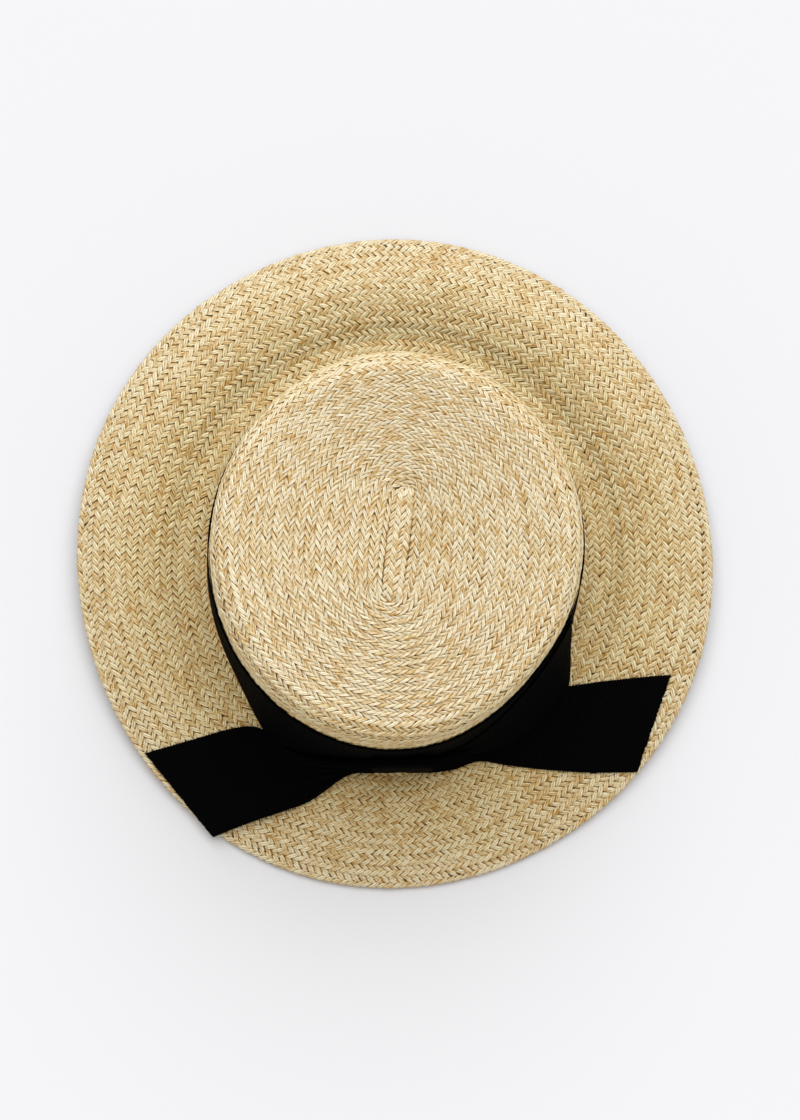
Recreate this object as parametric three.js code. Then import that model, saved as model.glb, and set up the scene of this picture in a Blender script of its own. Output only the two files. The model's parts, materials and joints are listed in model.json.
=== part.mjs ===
// Straw sun hat: a sewn-plait crown and brim with a ribbon hatband, a flat bow and a sweatband.
// Millimetres. +Z is up, the bow is at -Y, and the origin is under the brim's middle, at table height.
import * as THREE from 'three';

// ---- Straw body ----
const STRAW = 2.4;                 // two layers of plait
const TOP = 98;                    // middle of the crown above the table
const DOME = 2;                    // how much the top falls from its middle to its edge
const SHOULDER = 11;               // radius between the top and the side
const SHOULDER_TURN = 1.5;         // radians the shoulder turns, so the side keeps a slight lean
const CROWN = { x: 1.2, y: -1 };   // middle of the crown
const TOP_OVAL = { a: 74.5, b: 79 };
const FOOT_OVAL = { a: 88.5, b: 95 };
const BREAK = 4;                   // radius between the side and the brim
const BRIM = 15;                   // height of the brim where it leaves the crown
const START = { a: 5, b: 25.5, lean: 0.11 };  // first, straight run of plait
const EDGE = { width: 5.3, height: 2.2, lift: 8, sink: 1.5 };

// ---- Ribbon and inside ----
const RIBBON = 0.9;
const RIBBON_WIDTH = 50;
const GAP = 0.35;                  // between neighbours
const BAND_FOOT = 18.6;
const FLARES = [                   // where the band's foot stands off the crown, by the bow
  { at: 238, reach: 16, by: 9 },
  { at: 315, reach: 24, by: 9.5 },
];
const SWEATBAND = { width: 32, thick: 1, foot: 17 };
const THREAD = 0.7;
const TAIL = { thick: 1, over: 0.5, gap: 1.6 };  // gap: from a tail's edge to the line it lifts along
const TURN = 2 * Math.PI;
const ROUND = { strip: 40, top: 56, side: 60, brim: 72 };  // facets in one round

const STRAW_LOOK = { colour: 0xd8c49a, roughness: 0.75 };
const STRAW_THREAD_LOOK = { colour: 0xcbb68c, roughness: 0.6 };
const RIBBON_LOOK = { colour: 0x0a0a0b, roughness: 0.65 };
const SWEATBAND_LOOK = { colour: 0x0a0a0b, roughness: 0.7 };
const BLACK_THREAD_LOOK = { colour: 0x161617, roughness: 0.6 };

// ---- Worked out from those ----
const TURN_OUT = SHOULDER * Math.sin(SHOULDER_TURN);
const SIDE_TOP = TOP - DOME - SHOULDER * (1 - Math.cos(SHOULDER_TURN));
const SIDE_OVAL = { a: TOP_OVAL.a + TURN_OUT, b: TOP_OVAL.b + TURN_OUT };
const BRIM_OVAL = { a: FOOT_OVAL.a + BREAK, b: FOOT_OVAL.b + BREAK };
const BRIM_WIDE = 60;              // about how wide the brim is all round
const EDGE_START = 1 - EDGE.width / BRIM_WIDE;
const INSIDE = -STRAW - GAP;
const group = new THREE.Group();

// ---- Helpers ----
function add(name, geometry, { colour, roughness }, parent = group) {
  const material = new THREE.MeshStandardMaterial({ color: colour, roughness, metalness: 0 });
  const mesh = new THREE.Mesh(faceOut(geometry), material);
  mesh.name = name;
  parent.add(mesh);
  return mesh;
}

// Turns every triangle round if the body's signed volume is negative.
function faceOut(geometry) {
  const position = geometry.attributes.position;
  const index = geometry.index;
  const corners = [0, 1, 2].map(() => new THREE.Vector3());
  let volume = 0;
  for (let i = 0; i < index.count; i += 3) {
    corners.forEach((corner, k) => corner.fromBufferAttribute(position, index.getX(i + k)));
    volume += corners[0].dot(corners[1].cross(corners[2]));
  }
  for (let i = 0; volume < 0 && i < index.count; i += 3) {
    const first = index.getX(i);
    index.setX(i, index.getX(i + 2));
    index.setX(i + 2, first);
  }
  return geometry;
}

// An extruded shape with one index for each corner.
function extruded(shape, options) {
  const geometry = new THREE.ExtrudeGeometry(shape, { bevelEnabled: false, ...options });
  geometry.setIndex([...Array(geometry.attributes.position.count).keys()]);
  return geometry;
}

// A closed ring: outline holds [along, depth] pairs, and place gives the point for those and an angle.
function ring(outline, steps, place) {
  const far = 10;                  // keeps the lathe's profile clear of its axis
  const profile = outline.map(([along, depth]) => new THREE.Vector2(far + along, depth));
  const geometry = new THREE.LatheGeometry([...profile, profile[0].clone()], steps);
  const position = geometry.attributes.position;
  for (let i = 0; i < position.count; i += 1) {
    const x = position.getX(i);
    const z = position.getZ(i);
    const point = place(Math.hypot(x, z) - far, position.getY(i), Math.atan2(z, x));
    position.setXYZ(i, point.x, point.y, point.z);
  }
  return geometry;
}

// A closed slab: place gives the point for three numbers from 0 to 1.
function slab(along, across, place) {
  const geometry = new THREE.BoxGeometry(1, 1, 1, along, across, 1);
  const position = geometry.attributes.position;
  for (let i = 0; i < position.count; i += 1) {
    const point = place(position.getX(i) + 0.5, position.getY(i) + 0.5, position.getZ(i) + 0.5);
    position.setXYZ(i, point.x, point.y, point.z);
  }
  return geometry;
}

// An outline on a shell: there at one depth and back at the other.
function walled(stops, outer, inner) {
  return [...stops.map((s) => [s, outer]), ...stops.map((s) => [s, inner]).reverse()];
}

function mix(from, to, share) {
  return from + (to - from) * share;
}

function degrees(value) {
  return (value * TURN) / 360;
}

// ---- Shape of the straw's outer face ----
function oval(size, angle) {
  return new THREE.Vector3(
    CROWN.x + size.a * Math.cos(angle),
    CROWN.y + size.b * Math.sin(angle),
    0,
  );
}

function brimRadius(angle) {
  return 153.3 - 0.43 * Math.cos(angle) - 2.15 * Math.cos(2 * angle) - 0.7 * Math.sin(2 * angle)
    + 0.4 * Math.cos(3 * angle) - 0.65 * Math.sin(4 * angle);
}

// Height of the edge row's underside: on the table at front and back, lifted at the sides.
function edgeHeight(angle) {
  return Math.max(0, EDGE.lift * Math.cos(angle) ** 2 - EDGE.sink);
}

// 1 at the front, 0 at the back.
function frontness(angle) {
  return ((1 - Math.sin(angle)) / 2) ** 2;
}

// One smooth rise and fall between two places.
function hump(at, from, to) {
  const share = THREE.MathUtils.clamp((at - from) / (to - from), 0, 1);
  return Math.sin(Math.PI * share) ** 2;
}

function brimHeight(out, angle) {
  const front = frontness(angle);
  const valley = -1.6 * (1 - front) * hump(out, 0, 0.34);
  const crest = 2.5 * (1 - front) * hump(out, 0.2, 1);
  const drop = BRIM - edgeHeight(angle) - EDGE.height;
  return BRIM + valley + crest - drop * Math.max(out, 0) ** (2.6 - 1.2 * front);
}

function tipPoint(share, angle) {
  const lean = START.lean * (1 - share) ** 2;
  const a = mix(START.a, TOP_OVAL.a, share);
  const reach = mix(START.b, TOP_OVAL.b, share);
  const straight = (START.b - START.a) * (1 - share) ** 1.3;
  const sine = Math.sin(angle);
  const x = a * Math.cos(angle);
  const y = (reach - straight) * sine + straight * sine * (1.5 - 0.5 * sine * sine);
  return new THREE.Vector3(
    CROWN.x + x * Math.cos(lean) + y * Math.sin(lean),
    CROWN.y - x * Math.sin(lean) + y * Math.cos(lean),
    TOP - DOME * share * share,
  );
}

// Point on the outer face: 0-1 top, 1-2 shoulder, 2-3 side, 3-4 break, 4-5 brim.
function face(s, angle) {
  if (s <= 1) return tipPoint(s, angle);
  if (s <= 2) {
    const turned = SHOULDER_TURN * (s - 1);
    const out = SHOULDER * Math.sin(turned);
    const point = oval({ a: TOP_OVAL.a + out, b: TOP_OVAL.b + out }, angle);
    point.z = TOP - DOME - SHOULDER * (1 - Math.cos(turned));
    return point;
  }
  if (s <= 3) {
    const a = mix(SIDE_OVAL.a, FOOT_OVAL.a, s - 2);
    const point = oval({ a, b: mix(SIDE_OVAL.b, FOOT_OVAL.b, s - 2) }, angle);
    point.z = mix(SIDE_TOP, BRIM + BREAK, s - 2);
    return point;
  }
  if (s <= 4) {
    const turned = ((s - 3) * TURN) / 4;
    const out = BREAK * (1 - Math.cos(turned));
    const point = oval({ a: FOOT_OVAL.a + out, b: FOOT_OVAL.b + out }, angle);
    point.z = BRIM + BREAK * (1 - Math.sin(turned));
    return point;
  }
  const rim = new THREE.Vector3(Math.cos(angle), Math.sin(angle), 0).multiplyScalar(brimRadius(angle));
  const point = oval(BRIM_OVAL, angle).lerp(rim, s - 4);
  point.z = brimHeight(s - 4, angle);
  return point;
}

// The same point moved into the straw by a depth, along the face's normal.
function straw(s, depth, angle) {
  const step = 0.01;
  const along = face(s + step, angle).sub(face(s - step, angle));
  const round = face(s, angle + step).sub(face(s, angle - step));
  const inward = along.cross(round).normalize();
  return face(s, angle).addScaledVector(inward, -depth);
}

function strawRun(name, stops, steps) {
  add(name, ring(walled(stops, 0, STRAW), steps, straw), STRAW_LOOK);
}

// ---- Straw pieces ----
// The plait's first straight run, inside the first round of the crown's top.
function startStrip() {
  const inside = (START.a - GAP) / START.a;
  const outline = new THREE.Shape();
  for (let i = 0; i < ROUND.strip; i += 1) {
    const rim = face(0, (i * TURN) / ROUND.strip);
    const x = mix(CROWN.x, rim.x, inside);
    const y = mix(CROWN.y, rim.y, inside);
    if (i === 0) outline.moveTo(x, y);
    else outline.lineTo(x, y);
  }
  outline.closePath();
  const geometry = extruded(outline, { depth: STRAW });
  geometry.translate(0, 0, TOP - STRAW);
  add('plait_start_strip', geometry, STRAW_LOOK);
}

function edgeRow() {
  const outerLean = 0.8;
  const outline = [[0, 0], [0, 1], [0.5, 1], [1, 1], [1, 0]];
  const place = (out, up, angle) => {
    const point = face(4 + mix(EDGE_START, 1, out), angle);
    if (up < 0.5) {
      point.z = edgeHeight(angle);
      const outward = new THREE.Vector3(Math.cos(angle), Math.sin(angle), 0);
      if (out > 0.5) point.addScaledVector(outward, -outerLean);
    }
    return point;
  };
  add('brim_edge_row', ring(outline, ROUND.brim, place), STRAW_LOOK);
}

startStrip();
strawRun('crown_top', [0.007, 0.35, 0.7, 0.996], ROUND.top);
strawRun('crown_shoulder', [1.005, 1.35, 1.68, 1.99], ROUND.top);
strawRun('crown_side', [2.005, 3, 3.5, 3.95], ROUND.side);
strawRun('brim', [4.01, 4.15, 4.3, 4.5, 4.7, 4.82, 4 + EDGE_START - 0.008], ROUND.brim);
edgeRow();

// ---- Seam under the brim ----
const BRIM_SEAM = 4.8;
const seamOutline = [[-0.5, 0], [0.5, 0], [0.5, 1], [-0.5, 1]];
const seamPlace = (out, down, angle) => straw(
  BRIM_SEAM + (out * THREAD) / BRIM_WIDE,
  STRAW + GAP + down * THREAD,
  angle,
);
add('brim_seam_thread', ring(seamOutline, ROUND.side, seamPlace), STRAW_THREAD_LOOK);

// ---- Sweatband, inside the crown's foot ----
// Point on the crown's side at a height, moved straight out by off.
function onWall(z, off, angle) {
  const s = Math.min(2 + (SIDE_TOP - z) / (SIDE_TOP - BRIM - BREAK), 3);
  const point = straw(s, 0, angle);
  const outward = point.clone().sub(straw(s, 1, angle));
  outward.z = 0;
  point.addScaledVector(outward.normalize(), off);
  point.z = z;
  return point;
}

function sweatband() {
  const { width, thick, foot } = SWEATBAND;
  const inner = INSIDE - thick - GAP;
  const outline = [[0, 0], [0, -thick], [width, -thick], [width, 0]];
  const place = (up, off, angle) => onWall(foot + up, INSIDE + off, angle);
  add('sweatband', ring(outline, ROUND.side, place), SWEATBAND_LOOK);
  const row = 2;                   // the stitching's height over the band's lower edge
  const seam = [[row, 0], [row, -THREAD], [row + THREAD, -THREAD], [row + THREAD, 0]];
  const rowPlace = (up, off, angle) => onWall(foot + up, inner + off, angle);
  add('sweatband_seam_thread', ring(seam, ROUND.side, rowPlace), BLACK_THREAD_LOOK);
  const tab = { half: degrees(5), low: 4.5, high: width - 1.5, thick: 0.8 };
  const tabPlace = (share, up, off) => onWall(
    foot + mix(tab.low, tab.high, up),
    inner - tab.thick * off,
    TURN / 4 + mix(-tab.half, tab.half, share),
  );
  add('sweatband_join_tab', slab(4, 1, tabPlace), SWEATBAND_LOOK);
}
sweatband();

// ---- Hatband ----
function flare(angle) {
  const turned = ((angle / TURN) * 360 + 360) % 360;
  return FLARES.reduce((sum, { at, reach, by }) => sum + by * Math.exp(-(((turned - at) / reach) ** 2)), 0);
}

// Share of the band's height, 0 at its foot, to how much of the flare is left there.
function flareLeft(share) {
  return Math.max(0, 1 - share) ** 1.5;
}

// How far the band's outer face stands off the crown at a height.
function bandStand(z, angle) {
  return GAP + RIBBON + flare(angle) * flareLeft((z - BAND_FOOT) / RIBBON_WIDTH);
}

function hatband() {
  const outline = [0, 0.25, 0.6, 1];
  const place = (up, off, angle) => onWall(
    BAND_FOOT + up * RIBBON_WIDTH,
    GAP + off + flare(angle) * flareLeft(up),
    angle,
  );
  add('hatband', ring(walled(outline, RIBBON, 0), ROUND.side, place), RIBBON_LOOK);
}
hatband();

// ---- Bow ----
const KNOT = { x: 3.5, wide: 28, low: 18, high: 52, core: 2.2, wall: 1.1, turned: 0.085 };

// A strip standing against the hatband between two angles, low to high, at a distance from the crown.
function neck(name, fromAngle, toAngle, sizes) {
  const place = (share, up, off) => {
    const angle = degrees(mix(fromAngle, toAngle, share));
    const z = mix(KNOT.low, mix(sizes.high[0], sizes.high[1], share), up);
    const thick = mix(sizes.thick[0], sizes.thick[1], share);
    return onWall(z, bandStand(z, angle) + 2 * GAP + thick * off, angle);
  };
  add(name, slab(5, 2, place), RIBBON_LOOK);
}

// An upright outline with rounded corners, drawn into a shape or a hole.
function rounded(back, low, wide, tall, corner, shape) {
  shape.moveTo(back + corner, low);
  shape.lineTo(back + wide - corner, low);
  shape.quadraticCurveTo(back + wide, low, back + wide, low + corner);
  shape.lineTo(back + wide, low + tall - corner);
  shape.quadraticCurveTo(back + wide, low + tall, back + wide - corner, low + tall);
  shape.lineTo(back + corner, low + tall);
  shape.quadraticCurveTo(back, low + tall, back, low + tall - corner);
  shape.lineTo(back, low + corner);
  shape.quadraticCurveTo(back, low, back + corner, low);
  return shape;
}

function knot() {
  const front = onWall(BAND_FOOT, RIBBON + 3 * GAP + 0.5, TURN * 0.75);
  const stand = new THREE.Group();
  stand.position.set(KNOT.x, front.y, KNOT.low);
  stand.rotation.x = -KNOT.turned;
  group.add(stand);
  const high = KNOT.high - KNOT.low;
  const deep = KNOT.core + 2 * (KNOT.wall + GAP);
  const loop = rounded(0, 0, deep, high, 1.6, new THREE.Shape());
  const { core, wall, wide } = KNOT;
  loop.holes.push(rounded(wall, wall, deep - 2 * wall, high - 2 * wall, 0.8, new THREE.Path()));
  const across = (shape, depth) => {
    const geometry = extruded(shape, { depth, curveSegments: 4 });
    geometry.rotateX(TURN / 4);
    geometry.rotateZ(-TURN / 4);
    return geometry.translate(depth / 2, 0, 0);
  };
  add('knot_wrap', across(loop, wide), RIBBON_LOOK, stand);
  const inset = wall + GAP;
  const bunch = rounded(inset, inset, core, high - 2 * inset, 0.8, new THREE.Shape());
  add('knot_core', across(bunch, wide - 1), RIBBON_LOOK, stand);
}
knot();
neck('left_gather', 260.2, 247, { high: [44, 30], thick: [2.6, 1.6] });
neck('right_gather', 282.6, 296, { high: [42, 27], thick: [2.6, 1.6] });

// The brim's outer face under a point, found by halving the stretch between the crown and the edge.
function brimShare(x, y) {
  const angle = Math.atan2(y, x);
  let low = 0;
  let high = 1.2;
  for (let i = 0; i < 30; i += 1) {
    const middle = (low + high) / 2;
    const across = (x - CROWN.x * (1 - middle)) / BRIM_OVAL.a;
    const foot = oval(BRIM_OVAL, Math.atan2((y - CROWN.y * (1 - middle)) / BRIM_OVAL.b, across));
    if (mix(foot.length(), brimRadius(angle), middle) < Math.hypot(x, y)) low = middle;
    else high = middle;
  }
  return { out: low, angle };
}

function brimTop(x, y) {
  const { out, angle } = brimShare(x, y);
  return brimHeight(out, angle);
}

// A ribbon lying on the brim. Its corners are inner back, outer back, outer front and inner front.
function ribbonOnBrim(name, corners, steps) {
  const [innerBack, outerBack, outerFront, innerFront] = corners;
  const place = (along, across, up) => {
    const back = [0, 1].map((k) => mix(innerBack[k], outerBack[k], along));
    const front = [0, 1].map((k) => mix(innerFront[k], outerFront[k], along));
    const [x, y] = [0, 1].map((k) => mix(back[k], front[k], across));
    return new THREE.Vector3(x, y, brimTop(x, y) + TAIL.over + TAIL.thick * up);
  };
  add(name, slab(steps, 4, place), RIBBON_LOOK);
}

// A point moved towards another by a distance.
function moved(point, towards, by) {
  const away = [towards[0] - point[0], towards[1] - point[1]];
  const length = Math.hypot(away[0], away[1]);
  return [0, 1].map((k) => point[k] + (away[k] / length) * by);
}

// A tail in two stretches, on each side of the line that its free end lifts along.
function tail(side, root, line, end) {
  const [rootBack, rootFront] = root;
  const [lineBack, lineFront] = line;
  const [endBack, endFront] = end;
  const { gap } = TAIL;
  const rootCorners = [
    rootBack,
    moved(lineBack, rootBack, gap),
    moved(lineFront, rootFront, gap),
    rootFront,
  ];
  const freeCorners = [moved(lineBack, endBack, gap), endBack, endFront, moved(lineFront, endFront, gap)];
  ribbonOnBrim(`${side}_tail_root`, rootCorners, 5);
  ribbonOnBrim(`${side}_tail`, freeCorners, 6);
}

tail('left', [[-31, -97], [-29, -104]], [[-74, -77], [-59.5, -117.3]], [[-119, -89.5], [-86.7, -130.5]]);
tail('right', [[42, -94.5], [42.5, -99.5]], [[84, -58.4], [80.5, -98.6]], [[130.3, -54.2], [115, -100.7]]);

// ---- Tacks that hold the ribbon ----
const TACK = { angles: { back: 90, left: 180, right: 0 }, z: 40, long: 3 };
Object.entries(TACK.angles).forEach(([side, angle]) => {
  const geometry = new THREE.CapsuleGeometry(THREAD / 2, TACK.long, 2, 6);
  geometry.rotateX(TURN / 4);
  const clear = RIBBON + 2.5 * GAP + THREAD / 2;
  add(`band_tack_${side}`, geometry, BLACK_THREAD_LOOK).position.copy(onWall(TACK.z, clear, degrees(angle)));
});

export default group;
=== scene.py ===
"""Straw sun hat: the looks of a sewn-plait crown and brim with a black ribbon band and a flat bow.

Run as a script in Blender. Shapes are worked out in millimetres, and go into meshes in metres.
"""

import json
import math

import bpy
import numpy as np
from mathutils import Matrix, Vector


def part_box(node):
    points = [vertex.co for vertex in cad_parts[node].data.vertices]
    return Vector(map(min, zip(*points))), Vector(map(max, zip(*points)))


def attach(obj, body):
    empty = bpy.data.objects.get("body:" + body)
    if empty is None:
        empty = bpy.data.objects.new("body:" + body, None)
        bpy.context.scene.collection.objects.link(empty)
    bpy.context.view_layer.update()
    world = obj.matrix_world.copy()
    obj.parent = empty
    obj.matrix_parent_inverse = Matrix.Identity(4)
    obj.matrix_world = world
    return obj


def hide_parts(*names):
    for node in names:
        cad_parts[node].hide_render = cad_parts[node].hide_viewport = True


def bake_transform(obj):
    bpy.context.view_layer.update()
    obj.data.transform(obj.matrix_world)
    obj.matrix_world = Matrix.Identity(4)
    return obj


bl_info = {
    "name": "Straw Sun Hat",
    "version": (1, 0, 0),
    "blender": (4, 5, 0),
    "location": "View3D > Sidebar > Hat",
    "description": "Makes a sewn straw plait hat with a ribbon band and bow around its packed frame",
    "category": "Object",
}

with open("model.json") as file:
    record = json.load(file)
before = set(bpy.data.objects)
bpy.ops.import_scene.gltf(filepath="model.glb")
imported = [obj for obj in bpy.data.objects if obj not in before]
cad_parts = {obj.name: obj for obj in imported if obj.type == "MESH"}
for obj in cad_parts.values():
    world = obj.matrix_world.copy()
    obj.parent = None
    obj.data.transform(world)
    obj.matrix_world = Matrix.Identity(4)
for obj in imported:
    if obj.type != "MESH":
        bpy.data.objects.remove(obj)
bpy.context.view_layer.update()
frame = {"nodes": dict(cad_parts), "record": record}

MM = 0.001
TURN = 2 * math.pi
SEED = 11
BRIM_WIDE = 60.0
CORE_DEEP = 0.85
RIBBON_WIDE = 50.0
BAND_OFF = 1.0
SWEAT_OFF = 0.85
COLUMNS = ((-0.25, 1), (0.25, -1))
INSIDE_CELL = 1.6
MATERIALS = {}


# ---------------------------------------------------------------- sizes read from the frame
def box_mm(node):
    """Lowest and highest corner of a frame node, in millimetres."""
    low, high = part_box(node)
    return np.array(low) / MM, np.array(high) / MM


SHOULDER_LOW, SHOULDER_HIGH = box_mm("crown_shoulder")
STRIP_LOW, STRIP_HIGH = box_mm("plait_start_strip")
BAND_LOW, BAND_HIGH = box_mm("hatband")
SWEAT_LOW, SWEAT_HIGH = box_mm("sweatband")

CROWN_X, CROWN_Y = (SHOULDER_LOW[:2] + SHOULDER_HIGH[:2]) / 2
FOOT_SHIFT = np.array([-1.2, -2.2, 0.0])
DENT_AT, DENT_REACH, DENT_DEEP = 318.0, 30.0, 4.2
TOP_Z = STRIP_HIGH[2]
STRAW = STRIP_HIGH[2] - STRIP_LOW[2]
DOME = TOP_Z - SHOULDER_HIGH[2]
SHOULDER = 11.0
SHOULDER_TURN = 1.5
SIDE_TOP_Z = TOP_Z - DOME - SHOULDER * (1 - math.cos(SHOULDER_TURN))
TURN_OUT = SHOULDER * math.sin(SHOULDER_TURN)
TOP_A, TOP_B = 74.5, 79.0
FOOT_A, FOOT_B = 87.5, 93.8
BREAK = 4.0
BRIM_Z = 15.0
START_A, START_B, START_LEAN = 5.0, 25.5, 0.11
EDGE_WIDTH, EDGE_HEIGHT, EDGE_LIFT, EDGE_SINK = 5.3, 2.8, 8.0, 1.5


# ---------------------------------------------------------------- settings
def hex_colour(name, code):
    """A setting that holds an sRGB colour."""
    return bpy.props.StringProperty(name=name, description="sRGB hex colour", default=code)


class HatPlaitSettings(bpy.types.PropertyGroup):
    cell: bpy.props.FloatProperty(
        name="Strand spacing", description="Distance between strands along the plait, in millimetres",
        default=3.6, min=3, max=12)
    strand: bpy.props.FloatProperty(
        name="Strand width", description="Width of one strand, as a share of the room that it has",
        default=1.0, min=0.5, max=2)
    tuck: bpy.props.FloatProperty(
        name="Tuck", description="Length of a strand that goes under its neighbours, in millimetres",
        default=1.1, min=0, max=5)
    arch: bpy.props.FloatProperty(
        name="Float height", description="How far a strand rises between two tucks, in millimetres",
        default=0.45, min=0, max=2)
    pinch: bpy.props.FloatProperty(
        name="Pinch", description="Share of its width that a strand loses at the row's middle",
        default=0.36, min=0, max=1)
    shingle: bpy.props.FloatProperty(
        name="Row step", description="How far a row's outer side stands over its inner side, in millimetres",
        default=0.5, min=0, max=2)
    slant: bpy.props.FloatProperty(
        name="Slant", description="Angle between a strand and the plait's run on the brim",
        default=math.radians(33), subtype="ANGLE")
    crown_slant: bpy.props.FloatProperty(
        name="Crown slant", description="Angle between a strand and the plait's run on the crown's top",
        default=math.radians(27), subtype="ANGLE")
    light: hex_colour("Light straw", "FEFADF")
    mid: hex_colour("Straw", "EEDAA8")
    ochre: hex_colour("Ochre straw", "BD8A29")
    # colours for the straw seen between strands, both painted dark as shade
    shade: hex_colour("Hole", "1C1206")
    under: hex_colour("Under strands", "956A28")


class HatRibbonSettings(bpy.types.PropertyGroup):
    rib: bpy.props.FloatProperty(
        name="Rib spacing", description="Distance between grosgrain ribs, in millimetres",
        default=1.2, min=0.5, max=3)
    tooth: bpy.props.FloatProperty(
        name="Selvedge tooth", description="Length of one tooth of the selvedge, in millimetres",
        default=1.25)
    black: hex_colour("Black", "020202")
    # painted highlight on the rib tops
    lit: hex_colour("Rib tops", "0B0B0C")


class HatStageSettings(bpy.types.PropertyGroup):
    distance: bpy.props.FloatProperty(
        name="Camera distance", description="From the hat's foot to the camera", default=2.074, unit="LENGTH")
    lens: bpy.props.FloatProperty(name="Lens", description="Focal length in millimetres", default=140)
    height: bpy.props.FloatProperty(
        name="Elevation", description="Camera's angle above the table",
        default=math.radians(84.8), subtype="ANGLE")
    ground: hex_colour("Ground", "E8E8EA")


# ---------------------------------------------------------------- shape of the straw
def brim_radius(phi):
    """Brim edge's distance from the origin: a circle plus a few slow waves round it."""
    return (153.3 - 0.43 * np.cos(phi) - 2.15 * np.cos(2 * phi) - 0.7 * np.sin(2 * phi)
            + 0.4 * np.cos(3 * phi) - 0.65 * np.sin(4 * phi))


def edge_height(phi):
    """Height of the edge's underside: zero at front and back, lifted by a squared cosine at the sides."""
    return np.maximum(0, EDGE_LIFT * np.cos(phi) ** 2 - EDGE_SINK)


def hump(at, start, end):
    """One smooth rise and fall between start and end: a squared sine."""
    return np.sin(math.pi * np.clip((at - start) / (end - start), 0, 1)) ** 2


def brim_height(out, phi):
    """Brim height over its width: a valley by the crown, a crest, then a roll down to the edge as a power."""
    front = ((1 - np.sin(phi)) / 2) ** 2
    valley = -1.6 * (1 - front) * hump(out, 0, 0.34)
    crest = 2.5 * (1 - front) * hump(out, 0.2, 1)
    drop = BRIM_Z - edge_height(phi) - EDGE_HEIGHT
    return BRIM_Z + valley + crest - drop * np.maximum(out, 0) ** (2.6 - 1.2 * front)


def bell(degrees, at, reach):
    """A bell curve in degrees round the hat."""
    return np.exp(-(((degrees - at + 180) % 360 - 180) / reach) ** 2)


def oval(a, b, phi, z, share=0.0):
    """One round of the crown: an ellipse. The tight ribbon pulls a share of a shallow dent, a bell curve
    round the hat, into its front right."""
    dent = share * DENT_DEEP * bell(np.degrees(phi), DENT_AT, DENT_REACH)
    return np.stack([CROWN_X + (a - dent) * np.cos(phi), CROWN_Y + (b - dent) * np.sin(phi), z + 0 * phi], -1)


def tip(share, phi):
    """Crown top: rounds go from a narrow, leaning stadium at 0 to the top's oval at 1, on a shallow dome."""
    share = np.maximum(share, -0.2)
    lean = START_LEAN * (1 - share) ** 2
    a = START_A + (TOP_A - START_A) * share
    reach = START_B + (TOP_B - START_B) * share
    straight = (START_B - START_A) * np.maximum(1 - share, 0) ** 1.3
    sine = np.sin(phi)
    x = a * np.cos(phi)
    y = (reach - straight) * sine + straight * sine * (1.875 - 1.25 * sine ** 2 + 0.375 * sine ** 4)
    return np.stack([
        CROWN_X + x * np.cos(lean) + y * np.sin(lean),
        CROWN_Y - x * np.sin(lean) + y * np.cos(lean),
        TOP_Z - DOME * np.maximum(share, 0) ** 2 + 0 * phi], -1)


def face(s, phi):
    """Outer face of the straw. s is 0-1 on the top, 1-2 round the shoulder (an arc), 2-3 down the side
    (a straight lean), 3-4 round the break (a quarter circle) and 4-5 out over the brim."""
    s, phi = np.broadcast_arrays(np.asarray(s, float), np.asarray(phi, float))
    out = tip(np.minimum(s, 1), phi)
    turned = SHOULDER_TURN * np.clip(s - 1, 0, 1)
    wide = SHOULDER * np.sin(turned)
    shoulder = oval(TOP_A + wide, TOP_B + wide, phi, TOP_Z - DOME - SHOULDER * (1 - np.cos(turned)),
                    np.clip(s - 1, 0, 1) ** 2)
    down = np.clip(s - 2, 0, 1)
    side = oval(TOP_A + TURN_OUT + (FOOT_A - TOP_A - TURN_OUT) * down,
                TOP_B + TURN_OUT + (FOOT_B - TOP_B - TURN_OUT) * down,
                phi, SIDE_TOP_Z + (BRIM_Z + BREAK - SIDE_TOP_Z) * down, 1.0) + FOOT_SHIFT * down[..., None]
    turned = TURN / 4 * np.clip(s - 3, 0, 1)
    wide = BREAK * (1 - np.cos(turned))
    bend = oval(FOOT_A + wide, FOOT_B + wide, phi, BRIM_Z + BREAK * (1 - np.sin(turned)), 1.0) + FOOT_SHIFT
    away = np.maximum(s - 4, 0)[..., None]
    radius = brim_radius(phi)
    rim = np.stack([radius * np.cos(phi), radius * np.sin(phi), 0 * phi], -1)
    brim = (oval(FOOT_A + BREAK, FOOT_B + BREAK, phi, 0, 1.0) + FOOT_SHIFT) * (1 - away) + rim * away
    brim[..., 2] = brim_height(away[..., 0], phi)
    for start, part in ((1, shoulder), (2, side), (3, bend), (4, brim)):
        out = np.where((s > start)[..., None], part, out)
    return out


def across_and_round(s, phi):
    """Change of the face's point with s, and with the angle, by central differences."""
    step = 0.004
    return ((face(s + step, phi) - face(s - step, phi)) / (2 * step),
            (face(s, phi + step) - face(s, phi - step)) / (2 * step))


def gridded(*parts):
    """A grid of points or pairs from its coordinates, each spread over the whole grid."""
    return np.stack(np.broadcast_arrays(*parts), -1)


def unit(vectors):
    """The same directions with a length of one."""
    return vectors / np.maximum(np.linalg.norm(vectors, axis=-1, keepdims=True), 1e-9)


def length_along(points):
    """Length of a path so far at each of its points, from 0."""
    return np.concatenate([[0], np.cumsum(np.linalg.norm(np.diff(points, axis=0), axis=1))])


def straw(s, phi, rise):
    """Point at a rise above the outer face, along the face's normal. A negative rise goes into the straw."""
    across, along = across_and_round(s, phi)
    return face(s, phi) + unit(np.cross(across, along)) * np.asarray(rise)[..., None]


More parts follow.
